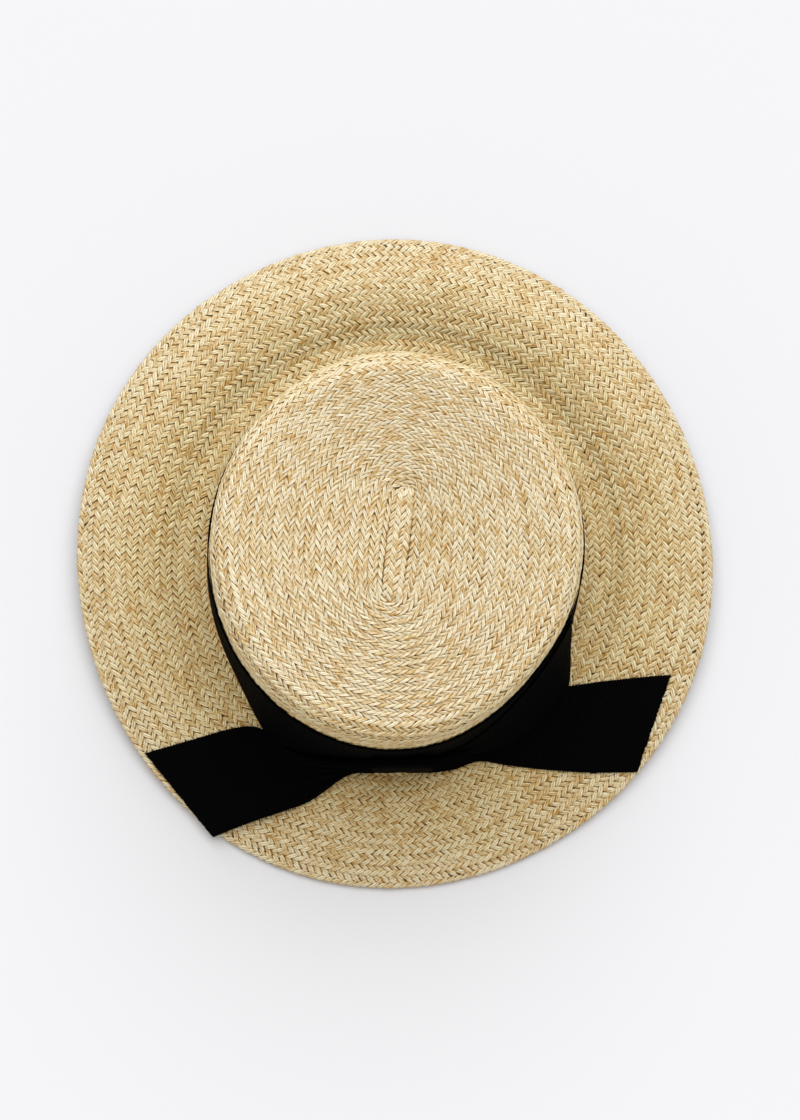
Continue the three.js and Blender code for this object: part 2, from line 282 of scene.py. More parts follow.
# ---------------------------------------------------------------- meshes
def grid_faces(rows, columns, closed):
    """Quads of a grid of rows by columns, as index arrays. A closed grid joins its last column to its
    first."""
    r, c = np.meshgrid(np.arange(rows - 1), np.arange(columns if closed else columns - 1), indexing="ij")
    nxt = (c + 1) % columns
    quads = np.stack([r * columns + c, (r + 1) * columns + c, (r + 1) * columns + nxt, r * columns + nxt], -1)
    return quads.reshape(-1, 4)


def link(name, mesh):
    """Puts a mesh into the scene as a named piece."""
    piece = bpy.data.objects.new(name, mesh)
    bpy.context.scene.collection.objects.link(piece)
    return piece


def make_mesh(name, points, polygons, smooth=True):
    """A mesh from points in millimetres and a list of index arrays, each array holding equal polygons."""
    mesh = bpy.data.meshes.new(name)
    counts = np.concatenate([np.full(len(p), p.shape[1]) for p in polygons])
    corners = np.concatenate([p.reshape(-1) for p in polygons])
    mesh.vertices.add(len(points))
    mesh.vertices.foreach_set("co", (points * MM).astype(np.float32).ravel())
    mesh.loops.add(len(corners))
    mesh.loops.foreach_set("vertex_index", corners.astype(np.int32))
    mesh.polygons.add(len(counts))
    mesh.polygons.foreach_set("loop_start", np.concatenate([[0], np.cumsum(counts)[:-1]]).astype(np.int32))
    mesh.update(calc_edges=True)
    mesh.polygons.foreach_set("use_smooth", np.full(len(counts), smooth))
    mesh.validate()
    return mesh


def set_attribute(mesh, name, values):
    """One number for each vertex, for a material to read."""
    attribute = mesh.attributes.new(name, "FLOAT", "POINT")
    attribute.data.foreach_set("value", values.astype(np.float32).ravel())


def set_uv(mesh, uv):
    """A UV map in millimetres from one pair of numbers for each vertex."""
    corners = np.empty(len(mesh.loops), np.int32)
    mesh.loops.foreach_get("vertex_index", corners)
    layer = mesh.uv_layers.new(name="weave")
    layer.data.foreach_set("uv", uv[corners].astype(np.float32).ravel())


# ---------------------------------------------------------------- the plait
EDGE_START = 5 - EDGE_WIDTH / BRIM_WIDE
ZONES = ((0.0, 1.0, 14.0), (1.0, 2.0, 3.1), (2.0, 3.0, 12.6), (3.0, 4.0, 1.2), (4.0, EDGE_START, 10.1))
ROW_STOPS = np.cumsum([0.0] + [rows for _, _, rows in ZONES])
ROWS = ROW_STOPS[-1]
ROW_WIDE = 5.3


def s_of_row(row):
    """Place on the face of a distance counted in rows from the first one: straight lines between the zones'
    ends, carried on past the first and the last."""
    stops = [ZONES[0][0]] + [end for _, end, _ in ZONES]
    inside = np.interp(row, ROW_STOPS, stops)
    first = (ZONES[0][1] - ZONES[0][0]) / ZONES[0][2]
    last = (ZONES[-1][1] - ZONES[-1][0]) / ZONES[-1][2]
    return inside + np.minimum(row, 0) * first + np.maximum(row - ROWS, 0) * last


def spiral():
    """The plait's run as one spiral of rows: angle, row and length so far at each dense step. A row's middle
    moves out by one row a round, from under the straight first run to under the edge row."""
    turns = np.linspace(0.0, ROWS + 1, int(ROWS * 360))
    row = turns - 0.5
    points = face(s_of_row(row), turns * TURN)
    length = length_along(points)
    return turns * TURN, row, length


def place_on_hat(row, phi, rise):
    """Point on the crown or brim. Rows past the last sink under the edge row."""
    sunk = 0.6 * np.clip(row - ROWS + 0.1, 0, 1) + 0.7 * np.clip(1 - row, 0, 1)
    return straw(s_of_row(np.minimum(row, ROWS + 0.55)), phi, rise - sunk)


def millimetres_round(row, phi):
    """Length of the face along its round for one radian."""
    return np.linalg.norm(across_and_round(s_of_row(row), phi)[1], axis=-1)


def edge_profile(at):
    """The edge row's section, as (across, up) and its normal: a flat oval path, in rows from its inner
    top."""
    path = np.array([(-3.6, -0.5), (-2.5, 0.75), (-1.2, 1.15), (0.6, 1.15), (1.9, 0.75), (2.6, 0.0),
                     (2.2, -0.8), (0.8, -1.15), (-1.5, -1.15), (-2.8, -0.9), (-3.6, -0.5)])
    run = length_along(path) / ROW_WIDE
    wide, up = (np.interp(at, run, path[:, k]) for k in (0, 1))
    step = 0.06
    slope = [np.interp(at + step, run, path[:, k]) - np.interp(at - step, run, path[:, k]) for k in (0, 1)]
    size = np.hypot(*slope) + 1e-6
    return wide, up, -slope[1] / size, slope[0] / size


def place_on_edge(at, phi, rise):
    """Point on the edge row, which is folded round the brim's edge."""
    wide, up, out_wide, out_up = edge_profile(at)
    across = 5 - (EDGE_WIDTH / 2 - wide - out_wide * rise) / BRIM_WIDE
    return straw(across, phi, up + out_up * rise - 0.85)


def place_on_strip(at, along, rise):
    """Point on the straight first run: flat, with its sides and both ends bent down."""
    wide, far = at * ROW_WIDE * 0.93, along
    lean = START_LEAN
    sunk = 0.9 * np.maximum(np.abs(far) - 22, 0) ** 2 / 12 + 0.9 * np.abs(at) ** 6
    narrow = 1 - 0.35 * np.clip((np.abs(far) - 19) / 8, 0, 1) ** 2
    return np.stack([
        CROWN_X + wide * narrow * np.cos(lean) + far * np.sin(lean),
        CROWN_Y - wide * narrow * np.sin(lean) + far * np.cos(lean),
        TOP_Z + 0.6 + rise - sunk], -1)


def float_polygons(count, along, across):
    """Quads of every float's top and one polygon under each, so that each float is a closed body."""
    quads = grid_faces(along, across, False)
    grid = np.arange(along * across).reshape(along, across)
    rim = np.concatenate([grid[0, :], grid[1:, -1], grid[-1, -2::-1], grid[-2:0:-1, 0]])
    start = (np.arange(count) * along * across)[:, None]
    return [(start[:, :, None] + quads[None]).reshape(-1, 4), start + rim[None]]


def lay_floats(place, row, turned, per_unit, column, rng, slant, side=1):
    """The floats of one column of the plait: each is a strand's short stretch on top, between two tucks.
    It is an arch along the strand less a crown across it, slanted by the column's sign, narrower where it
    tucks into the row's middle. place turns (row, angle, rise) to a point; per_unit is the length of one unit
    of angle; side is 1 on the outer face and -1 inside, where strands are drawn wider apart."""
    plait = bpy.context.scene.hat_plait
    offset, sign = column
    along, across = (4, 4) if side > 0 else (3, 3)
    n = len(row)
    a, b = (g.ravel()[None] for g in np.meshgrid(
        np.linspace(-1, 1, along), np.linspace(-1, 1, across), indexing="ij"))
    vary = rng.normal(0, 1, (4, n, 1))
    long = plait.tuck + ROW_WIDE / 2 / math.sin(slant) * (1 + 0.05 * vary[1])
    room = plait.cell * (1 if side > 0 else INSIDE_CELL)
    wide = plait.strand * room * math.sin(slant) * (1 + 0.05 * vary[2])
    slant = slant * (1 + 0.07 * vary[0])
    taper = np.where(a > 0, 1 - plait.pinch * np.abs(a) ** 3, 1 - 0.12 * np.abs(a) ** 3)
    x = a * long / 2 * np.cos(slant) + b * taper * wide / 2 * np.sin(slant)
    y = a * long / 2 * np.sin(slant) - b * taper * wide / 2 * np.cos(slant)
    at_row = row[:, None] + offset + sign * y / ROW_WIDE
    at_turn = turned[:, None] + x / per_unit[:, None]
    shingle = plait.shingle * (offset + sign * y / ROW_WIDE)
    arch = plait.arch * (1 - np.abs(a) ** 2.6) * (1 + 0.25 * vary[3])
    height = -plait.arch + arch - 0.2 * b ** 2 + 0.14 * b + shingle
    points = place(at_row, at_turn, height if side > 0 else -STRAW - height).reshape(-1, 3)
    tops, under = float_polygons(n, along, across)
    if (sign > 0) == (side > 0):
        tops = tops[:, ::-1]
    else:
        under = under[:, ::-1]
    tone = rng.random(n)[:, None] + 0 * a
    # tuck is 0 on a float's middle and 1 at its edges and ends; the straw material paints shade with it
    tuck = np.clip(0.8 * np.abs(b) ** 4 + np.abs(a) ** 4, 0, 1) + 0 * tone
    uv = np.stack([a * long / 2 + tone * 400, b * wide / 2 + tone * 90], -1)
    return points, [tops, under], tone.ravel(), tuck.ravel(), uv.reshape(-1, 2)


def join_parts(parts):
    """Puts lists of points, polygons, tones, tucks and uv together, moving the polygons' indices along."""
    total, polygons = 0, []
    for points, order, *_ in parts:
        polygons += [p + total for p in order]
        total += len(points)
    return (np.concatenate([p[0] for p in parts]), polygons,
            *(np.concatenate([p[k] for p in parts]) for k in (2, 3, 4)))


def tube_grid(points):
    """A closed tube from a grid of points, rows round its section and columns along it, as a plain part with
    no strands, marked by a tone below zero."""
    rows, columns = points.shape[:2]
    r, c = np.meshgrid(np.arange(rows), np.arange(columns), indexing="ij")
    down, nxt = (r + 1) % rows, (c + 1) % columns
    quads = np.stack([r * columns + c, r * columns + nxt, down * columns + nxt, down * columns + c], -1)
    n = rows * columns
    return points.reshape(-1, 3), [quads.reshape(-1, 4)], np.full(n, -1.0), np.ones(n), np.zeros((n, 2))


def shell(stops, steps, deep):
    """The straw behind the floats: a ring as thick as two layers less a depth on each side."""
    s = np.concatenate([stops, stops[::-1]])[:, None]
    rise = np.concatenate([np.full(len(stops), -deep), np.full(len(stops), deep - STRAW)])[:, None]
    phi = np.arange(steps)[None] / steps * TURN
    return tube_grid(straw(s + 0 * phi, phi + 0 * s, rise + 0 * phi))


def spiral_piece(name, node, rows, hidden, stops, slant):
    """Every float whose middle is between two rows, outside and inside, on their shell. hidden holds the
    stretches of rows that a ribbon covers outside and inside."""
    rng = np.random.default_rng(SEED + int(rows[0]))
    cell = bpy.context.scene.hat_plait.cell
    turned, row, length = SPIRAL
    parts = [shell(stops, 160, CORE_DEEP)]
    for side, (cover_from, cover_to) in zip((1, -1), hidden):
        for column, shift in ((COLUMNS[0], 0.0), (COLUMNS[1], 0.5)):
            pitch = cell if side > 0 else cell * INSIDE_CELL
            at = np.arange(shift * pitch, length[-1], pitch)
            here = np.interp(at, length, row)
            keep = (here >= rows[0]) & (here < rows[1]) & ~((here > cover_from) & (here < cover_to))
            at = at[keep] + rng.normal(0, 0.1, keep.sum())
            here, angle = np.interp(at, length, row), np.interp(at, length, turned)
            per_radian = millimetres_round(here, angle)
            parts.append(lay_floats(place_on_hat, here, angle, per_radian, column, rng, slant, side))
    return finish_straw(name, node, parts)


def finish_straw(name, node, parts):
    """Makes one straw piece of its parts. Faces of the shell behind the strands get the crevice material."""
    points, polygons, tone, tuck, uv = join_parts(parts)
    mesh = make_mesh(name, points, polygons)
    set_attribute(mesh, "tone", tone)
    set_attribute(mesh, "tuck", tuck)
    set_uv(mesh, uv)
    for material in MATERIALS["straw"]:
        mesh.materials.append(material)
    starts = np.empty(len(mesh.polygons), np.int32)
    mesh.polygons.foreach_get("loop_start", starts)
    corners = np.empty(len(mesh.loops), np.int32)
    mesh.loops.foreach_get("vertex_index", corners)
    mesh.polygons.foreach_set("material_index", (tone[corners[starts]] < 0).astype(np.int32))
    piece = link(name, mesh)
    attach(piece, "hat")
    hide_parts(node)
    return piece


SPIRAL = spiral()


def rows_at_height(z):
    """Rows counted at a height on the crown's side."""
    return np.interp((SIDE_TOP_Z - z) / (SIDE_TOP_Z - BRIM_Z - BREAK), (0, 1), ROW_STOPS[2:4])


# ---------------------------------------------------------------- materials
def linear(code):
    """Linear colour from an sRGB hex value."""
    values = [int(code[i:i + 2], 16) / 255 for i in (0, 2, 4)]
    return (*[v / 12.92 if v <= 0.04045 else ((v + 0.055) / 1.055) ** 2.4 for v in values], 1)


def add_node(tree, kind, inputs=None, **settings):
    """Adds one node. inputs maps a socket's name or number to a value, or to the socket it is fed from."""
    made = tree.nodes.new(kind)
    for key, value in settings.items():
        setattr(made, key, value)
    for key, value in (inputs or {}).items():
        if isinstance(value, bpy.types.NodeSocket):
            tree.links.new(value, made.inputs[key])
        else:
            made.inputs[key].default_value = value
    return made


def combine(tree, operation, *values):
    """One maths node on the values or sockets given, and its result."""
    return add_node(tree, "ShaderNodeMath", dict(enumerate(values)), operation=operation).outputs[0]


def mix(tree, share, first, second, **settings):
    """One colour node: first where share is 0, second where it is 1, and its result."""
    return add_node(tree, "ShaderNodeMix", {"Factor": share, 6: first, 7: second}, data_type="RGBA",
                    **settings).outputs[2]


def ranged(tree, value, **ends):
    """One map-range node with its ends given by the words of its sockets, and its result."""
    ends = {key.replace("_", " "): end for key, end in ends.items()}
    return add_node(tree, "ShaderNodeMapRange", {"Value": value, **ends}).outputs[0]


def new_material(name, roughness, **values):
    """A named material with one principled shader, whose plain values are set on its own sockets."""
    material = bpy.data.materials.new(name)
    material.use_nodes = True
    tree = material.node_tree
    shader = tree.nodes["Principled BSDF"]
    shader.inputs["Roughness"].default_value = roughness
    for key, value in values.items():
        shader.inputs[key.replace("_", " ")].default_value = value
    return material, tree, shader


def straw_material():
    """Bleached palm straw, split flat and plaited: matt, with fine fibres along each strand, paler on the
    crown of a strand and, as painted shade, ochre where it tucks under the next and more golden round the
    crown's foot."""
    plait = bpy.context.scene.hat_plait
    material, tree, shader = new_material("plaited straw", 0.45)
    tone = add_node(tree, "ShaderNodeAttribute", attribute_name="tone").outputs["Fac"]
    tuck = add_node(tree, "ShaderNodeAttribute", attribute_name="tuck").outputs["Fac"]
    uv = add_node(tree, "ShaderNodeUVMap", uv_map="weave").outputs["UV"]
    # fibres 4 mm long and 0.2 mm wide, drawn 0.5 mm wide so that they show
    stretched = add_node(tree, "ShaderNodeMapping", {"Vector": uv, "Scale": (0.25, 2.6, 1.0)}).outputs[0]
    fibre = add_node(tree, "ShaderNodeTexNoise", {
        "Vector": stretched, "Scale": 1.0, "Detail": 2.0}).outputs[0]
    paler = ranged(tree, tone, To_Min=-0.09, To_Max=0.09)
    streak = combine(tree, "ADD", fibre, paler)
    strand = add_node(tree, "ShaderNodeValToRGB", {"Fac": streak})
    ramp = strand.color_ramp
    ramp.elements[0].color, ramp.elements[1].color = linear(plait.ochre), linear(plait.light)
    ramp.elements[0].position, ramp.elements[1].position = 0.34, 0.58
    body = ramp.elements.new(0.42)
    body.color = linear(plait.mid)
    # painted shade: the straw goes ochre towards each float's edges and ends, where the strand tucks under
    # its neighbours
    painted_tuck_shade = combine(tree, "POWER", tuck, 2.2)
    # flecks of riper straw, about 1.5 mm long
    spread = add_node(tree, "ShaderNodeMapping", {"Vector": uv, "Scale": (0.7, 1.9, 1.0)}).outputs[0]
    patch = add_node(tree, "ShaderNodeTexNoise", {"Vector": spread, "Scale": 1.0, "Detail": 1.0}).outputs[0]
    fleck = ranged(tree, patch, From_Min=0.62, From_Max=0.7, To_Max=0.7)
    share = combine(tree, "MULTIPLY", painted_tuck_shade, 0.85)
    share = combine(tree, "MAXIMUM", share, fleck)
    # each strand is two straws side by side, with a groove of 0.3 mm between them, coloured ochre as painted
    # shade
    across = add_node(tree, "ShaderNodeSeparateXYZ", {0: uv}).outputs["Y"]
    start = combine(tree, "MULTIPLY", tone, 90.0)
    middle = combine(tree, "SUBTRACT", across, start)
    aside = combine(tree, "ABSOLUTE", middle)
    groove = ranged(tree, aside, From_Max=0.28, To_Min=0.65, To_Max=0.0)
    share = combine(tree, "MAXIMUM", share, groove)
    colour = mix(tree, share, strand.outputs["Color"], linear(plait.ochre))
    # painted shade: the straw is darker and more golden round the crown's foot, and a little on all of the
    # brim
    place = add_node(tree, "ShaderNodeTexCoord").outputs["Object"]
    flat = add_node(tree, "ShaderNodeVectorMath", {
        0: place, 1: (1.0, 1.0, 0.0)}, operation="MULTIPLY").outputs[0]
    out = add_node(tree, "ShaderNodeVectorMath", {0: flat}, operation="LENGTH").outputs["Value"]
    across_brim = ranged(tree, out, From_Min=0.08, From_Max=0.155)
    painted_foot_shade = add_node(tree, "ShaderNodeValToRGB", {"Fac": across_brim})
    stops = painted_foot_shade.color_ramp.elements
    stops[0].color, stops[1].color = (1, 1, 1, 1), linear("F1EFE9")
    for position, code in ((0.18, "F3EACD"), (0.5, "F2EBD2"), (0.8, "F1EDE0")):
        stops.new(position).color = linear(code)
    colour = mix(tree, 1.0, colour, painted_foot_shade.outputs["Color"], blend_type="MULTIPLY")
    tree.links.new(colour, shader.inputs["Base Color"])
    raised = combine(tree, "SUBTRACT", fibre, groove)
    bump = add_node(tree, "ShaderNodeBump", {"Height": raised, "Strength": 0.6, "Distance": 0.0004})
    tree.links.new(bump.outputs[0], shader.inputs["Normal"])
    return material


def crevice_material():
    """The same straw seen only between strands, painted dark and browner as shade in the holes and crevices.
    """
    plait = bpy.context.scene.hat_plait
    material, tree, shader = new_material("straw between strands", 0.8)
    place = add_node(tree, "ShaderNodeTexCoord").outputs["Object"]
    patch = add_node(tree, "ShaderNodeTexNoise", {"Vector": place, "Scale": 400.0}).outputs[0]
    share = ranged(tree, patch, From_Min=0.42, From_Max=0.5)
    # painted shade: near black and dark brown, mixed by noise, for the straw in the holes between strands
    colour = mix(tree, share, linear(plait.shade), linear(plait.under))
    tree.links.new(colour, shader.inputs["Base Color"])
    return material


def ribbon_material(name):
    """Black grosgrain: dyed warp over thick weft, so it has fine ribs across its width. It hardly shines."""
    material, tree, shader = new_material(name, 0.8, Specular_IOR_Level=0.015)
    uv = add_node(tree, "ShaderNodeUVMap", uv_map="weave").outputs["UV"]
    ribbon = bpy.context.scene.hat_ribbon
    along = add_node(tree, "ShaderNodeSeparateXYZ", {0: uv}).outputs["X"]
    phase = combine(tree, "MULTIPLY", along, TURN / ribbon.rib)
    ribs = combine(tree, "SINE", phase)
    speck = add_node(tree, "ShaderNodeTexNoise", {"Vector": uv, "Scale": 2.2}).outputs[0]
    height = combine(tree, "ADD", ribs, speck)
    bump = add_node(tree, "ShaderNodeBump", {"Height": height, "Strength": 0.8, "Distance": 0.0002})
    tree.links.new(bump.outputs[0], shader.inputs["Normal"])
    # painted highlight: rib tops are coloured a little lighter than the black between them
    lit = ranged(tree, height, From_Min=0.3, From_Max=1.7, To_Min=0.0, To_Max=1.0)
    colour = mix(tree, lit, linear(ribbon.black), linear(ribbon.lit))
    tree.links.new(colour, shader.inputs["Base Color"])
    return material


def thread_material(name, code):
    """Twisted sewing thread: two plies, with painted shade darkening it along a fine slanting groove."""
    material, tree, shader = new_material(name, 0.6)
    place = add_node(tree, "ShaderNodeTexCoord").outputs["Object"]
    # plies about 0.5 mm apart
    painted_ply_shade = add_node(tree, "ShaderNodeTexWave", {"Vector": place, "Scale": 300.0, "Distortion": 1.5},
                   bands_direction="DIAGONAL").outputs["Fac"]
    # painted shade: the thread is mixed towards black along the groove between the plies
    colour = mix(tree, combine(tree, "MULTIPLY", painted_ply_shade, 0.45), linear(code), (0.004, 0.004, 0.004, 1))
    tree.links.new(colour, shader.inputs["Base Color"])
    return material


# ---------------------------------------------------------------- ribbons
# pleats beside the knot, all in millimetres but their number
PLEATS, PLEAT_DEEP, PLEAT_REACH = 4.5, 1.9, 38.0
# how high a tail lies over the straw, how much of it goes into the knot, and how far its crease bends
TAIL_RISE, TUCKED_IN, HINGE_REACH = 0.95, 7.0, 7.0
# the knot's middle from front to back at mid-height, and how much nearer the crown its top is
KNOT_Y, KNOT_LEAN = -98.9, 1.0
# where the band's foot flares: degrees round the hat, how far round it reaches, and how far it stands off
FLARES = ((238.0, 16.0, 9.0), (315.0, 24.0, 2.5))
# the fold beside the bow: degrees round the hat, how far its foot stands off, and its foot's and head's
# height
FOLD = ((289, 5.0, 29, 36), (294, 7.4, 27.5, 39), (301, 10.8, 23, 46), (306, 13, 21, 50.5),
        (312, 14.1, 20, 54.5), (318, 14.7, 19.5, 57), (326, 14.3, 19.5, 60.5), (331, 10.4, 21, 62),
        (336, 5.9, 24, 63.5), (341, 2.6, 30, 64))
# each tail's lower edge, its upper edge from the knot to the cut end, and how ragged the cut is
LEFT_TAIL = (((-9, -99.9, 20), (-19.7, -100.8, 17.5), (-29.1, -107.7, 16), (-41.4, -115.2, 14),
              (-54.1, -119.9, 13), (-70.6, -125.4, 10), (-85.9, -131.4, 6)),
             ((-9, -97.8, 44), (-30, -96, 36), (-49, -90.5, 26), (-62.1, -80.5, 17), (-74.3, -79.5, 16),
              (-96.7, -85.4, 11), (-118.2, -91.3, 6)), 0.12)
RIGHT_TAIL = (((14, -99.9, 20), (25.9, -99.4, 18.5), (34.4, -96.8, 17), (40, -96, 16.5), (54.2, -97.8, 15),
               (69.8, -99.6, 13), (90.6, -101, 11), (114.4, -100.7, 6)),
              ((14, -97.8, 42), (30, -92.4, 34), (46, -86, 26), (60, -78, 18), (75, -62, 16),
               (81.1, -60.2, 16), (98.2, -57.7, 14), (120.6, -55.2, 9), (130.2, -54.4, 7)), 0.25)


def on_wall(z, off, phi):
    """Point at a height on the crown's outer side, moved straight out by off."""
    s = np.clip(2 + (SIDE_TOP_Z - z) / (SIDE_TOP_Z - BRIM_Z - BREAK), 1.2, 3)
    s, z, off, phi = np.broadcast_arrays(s, z, off, phi)
    point = face(s, phi)
    across, along = across_and_round(s, phi)
    outward = np.cross(across, along)
    outward[..., 2] = 0
    point = point + unit(outward) * off[..., None]
    point[..., 2] = z
    return point


def band_stand(z, phi):
    """How far the band's middle stands off the crown: its foot flares on both sides of the bow."""
    degrees = np.degrees(phi) % 360
    share = np.clip((z - BAND_LOW[2]) / (BAND_HIGH[2] - BAND_LOW[2]), 0, 1)
    foot = sum(by * bell(degrees, at, reach) for at, reach, by in FLARES)
    return BAND_OFF + foot * (1 - share) ** 1.5


def brim_under(x, y):
    """Height of the brim's outer face under a point: halves the stretch from the crown to the edge until the
    point lies on that round."""
    low, high = np.zeros_like(x), np.full_like(x, 1.2)
    rim = brim_radius(np.arctan2(y, x))
    for _ in range(24):
        out = (low + high) / 2
        a = (FOOT_A + BREAK) * (1 - out) + rim * out
        b = (FOOT_B + BREAK) * (1 - out) + rim * out
        middle = (1 - out) * (CROWN_X + FOOT_SHIFT[0]), (1 - out) * (CROWN_Y + FOOT_SHIFT[1])
        beyond = np.hypot((x - middle[0]) / a, (y - middle[1]) / b) > 1
        low, high = np.where(beyond, out, low), np.where(beyond, high, out)
    return brim_height(low, np.arctan2(y, x))


def smooth_path(stops, count):
    """Points along a smooth curve through the stops: a cubic between each two, with its slopes from the
    neighbours. The steps are equal in length."""
    stops = np.array(stops, float)
    padded = np.concatenate([2 * stops[:1] - stops[1:2], stops, 2 * stops[-1:] - stops[-2:-1]])
    at = np.linspace(0, len(stops) - 1, 400)
    k = np.minimum(at.astype(int), len(stops) - 2)
    f = (at - k)[:, None]
    p0, p1, p2, p3 = (padded[k + i] for i in range(4))
    dense = 0.5 * (2 * p1 + (p2 - p0) * f + (2 * p0 - 5 * p1 + 4 * p2 - p3) * f ** 2
                   + (3 * p1 - p0 - 3 * p2 + p3) * f ** 3)
    run = length_along(dense)
    even = np.linspace(0, run[-1], count)
    return np.stack([np.interp(even, run, dense[:, i]) for i in range(stops.shape[1])], -1)


def tooth(length_mm, depth=0.45):
    """Saw-tooth of a woven selvedge along a length, from 0 to depth."""
    pitch = bpy.context.scene.hat_ribbon.tooth
    return depth * np.abs((length_mm / pitch) % 1 - 0.5) * 2


def cloth(name, points, uv, closed, material, thick=0.5):
    """A cloth sheet from a grid of points (rows across the ribbon, columns along it), given its thickness.
    uv is in millimetres: along the ribbon, then across it."""
    rows, columns = points.shape[:2]
    quads = grid_faces(rows, columns, closed)
    mesh = make_mesh(name, points.reshape(-1, 3), [quads])
    corners = uv.reshape(-1, 2)[quads]
    if closed:
        whole = uv[0, -1, 0] + uv[0, 1, 0] - uv[0, 0, 0]
        wraps = corners[:, :, 0].max(1) - corners[:, :, 0].min(1) > whole / 2
        fixed = corners[wraps, :, 0]
        corners[wraps, :, 0] = np.where(fixed < whole / 2, fixed + whole, fixed)
    layer = mesh.uv_layers.new(name="weave")
    layer.data.foreach_set("uv", corners.astype(np.float32).ravel())
    mesh.materials.append(MATERIALS[material])
    piece = link(name, mesh)
    solid = piece.modifiers.new("thickness", "SOLIDIFY")
    solid.thickness = thick * MM
    solid.offset = 0
    with bpy.context.temp_override(object=piece, active_object=piece, selected_objects=[piece]):
        bpy.ops.object.modifier_apply(modifier=solid.name)
    return piece


def stitches(name, node, path, sizes, material):
    """A row of stitches on a closed path: each a thin pointed body, bowed up between its ends.
    sizes are a stitch's pitch, the gap after it, and its radius, in millimetres."""
    pitch, gap, radius = sizes
    run = length_along(path)
    count = int(run[-1] / pitch)
    start = np.arange(count)[:, None] * run[-1] / count
    steps = np.linspace(0, 1, 5)
    at = start + steps[None] * (pitch - gap)
    middle = np.stack([np.interp(at, run, path[:, k]) for k in range(3)], -1)
    ahead = np.stack([np.interp(at + 0.5, run, path[:, k]) for k in range(3)], -1)
    along = unit(ahead - middle)
    side = unit(np.cross(along, np.array([0.0, 0.0, 1.0])))
    up = np.cross(side, along)
    fat = radius * np.sqrt(np.maximum(1 - (2 * steps - 1) ** 4, 0.02))
    turn = np.arange(6) / 6 * TURN
    ringed = (side[:, :, None] * np.cos(turn)[:, None] + up[:, :, None] * np.sin(turn)[:, None])
    points = middle[:, :, None] + ringed * fat[None, :, None, None]
    quads = grid_faces(5, 6, True)
    first = (np.arange(count) * 30)[:, None]
    body = (first[:, :, None] + quads[None]).reshape(-1, 4)
    caps = [first + np.arange(6)[None], first + 24 + np.arange(6)[None, ::-1]]
    mesh = make_mesh(name, points.reshape(-1, 3), [body, *caps])
    mesh.materials.append(MATERIALS[material])
    piece = link(name, mesh)
    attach(piece, "hat")
    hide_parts(node)
    return piece


class HAT_OT_materials(bpy.types.Operator):
    """Makes the straw, ribbon and thread materials"""
    bl_idname = "hat.materials"
    bl_label = "Materials"

    def execute(self, context):
        MATERIALS["straw"] = (straw_material(), crevice_material())
        MATERIALS["ribbon"] = ribbon_material("black grosgrain")
        MATERIALS["sweatband"] = ribbon_material("black sweatband grosgrain")
        MATERIALS["straw_thread"] = thread_material("natural cotton thread", "CDB98E")
        MATERIALS["black_thread"] = thread_material("black polyester thread", "121214")
        return {"FINISHED"}


class HAT_OT_crown(bpy.types.Operator):
    """Lays the plait of the crown, from its straight first run to the foot of its side"""
    bl_idname = "hat.crown"
    bl_label = "Crown"

    def execute(self, context):
        none = (0.0, 0.0)
        plait = context.scene.hat_plait
        self.first_run(plait)
        top, shoulder, side, foot = ROW_STOPS[1:5]
        covered = ((rows_at_height(BAND_HIGH[2] - 4), side - 0.6),
                   (rows_at_height(SWEAT_HIGH[2] - 3), side - 0.8))
        spiral_piece("crown_top_plait", "crown_top", (-1, top), (none, none),
                     np.linspace(0.0, 1.0, 26), plait.crown_slant)
        spiral_piece("crown_shoulder_plait", "crown_shoulder", (top, shoulder), (none, none),
                     np.linspace(1, 2, 9), plait.crown_slant)
        spiral_piece("crown_side_plait", "crown_side", (shoulder, foot), covered,
                     np.concatenate([np.linspace(2, 3, 14), np.linspace(3.2, 3.95, 4)]), plait.slant)
        return {"FINISHED"}

    @staticmethod
    def first_run(plait):
        """The plait's whole width laid straight: four columns of floats on a flat bar."""
        rng = np.random.default_rng(SEED)
        steps = np.linspace(-1, 1, 9)
        bar = np.concatenate([steps, steps[::-1]])[:, None]
        deep = np.repeat([-0.9, 0.9 - STRAW], 9)[:, None]
        run = np.concatenate([[-25.2], np.linspace(-25, 25, 21), [25.2]])[None]
        shrunk = np.where(np.abs(run) > 25.1, 0.02, 1.0)
        points = place_on_strip(bar * shrunk, run + 0 * bar, deep + 0 * run)
        quads = grid_faces(*points.shape[:2], False)
        rows, columns = points.shape[:2]
        c = np.arange(columns - 1)
        closing = np.stack([(rows - 1) * columns + c, c, c + 1, (rows - 1) * columns + c + 1], -1)
        ends = [np.arange(rows)[None] * columns, np.arange(rows)[None, ::-1] * columns + columns - 1]
        n = rows * columns
        parts = [(points.reshape(-1, 3), [np.concatenate([quads, closing]), *ends], np.full(n, -1.0),
                  np.ones(n), np.zeros((n, 2)))]
        for offset, sign, shift in ((-0.75, 1, 0.0), (-0.25, -1, 0.5), (0.25, 1, 0.0), (0.75, -1, 0.5)):
            at = np.arange(-26.5 + shift * plait.cell, 26.5, plait.cell)
            zero = np.zeros(len(at))
            parts.append(lay_floats(place_on_strip, zero, at, zero + 1, (offset, sign), rng, plait.slant))
        return finish_straw("first_run_plait", "plait_start_strip", parts)


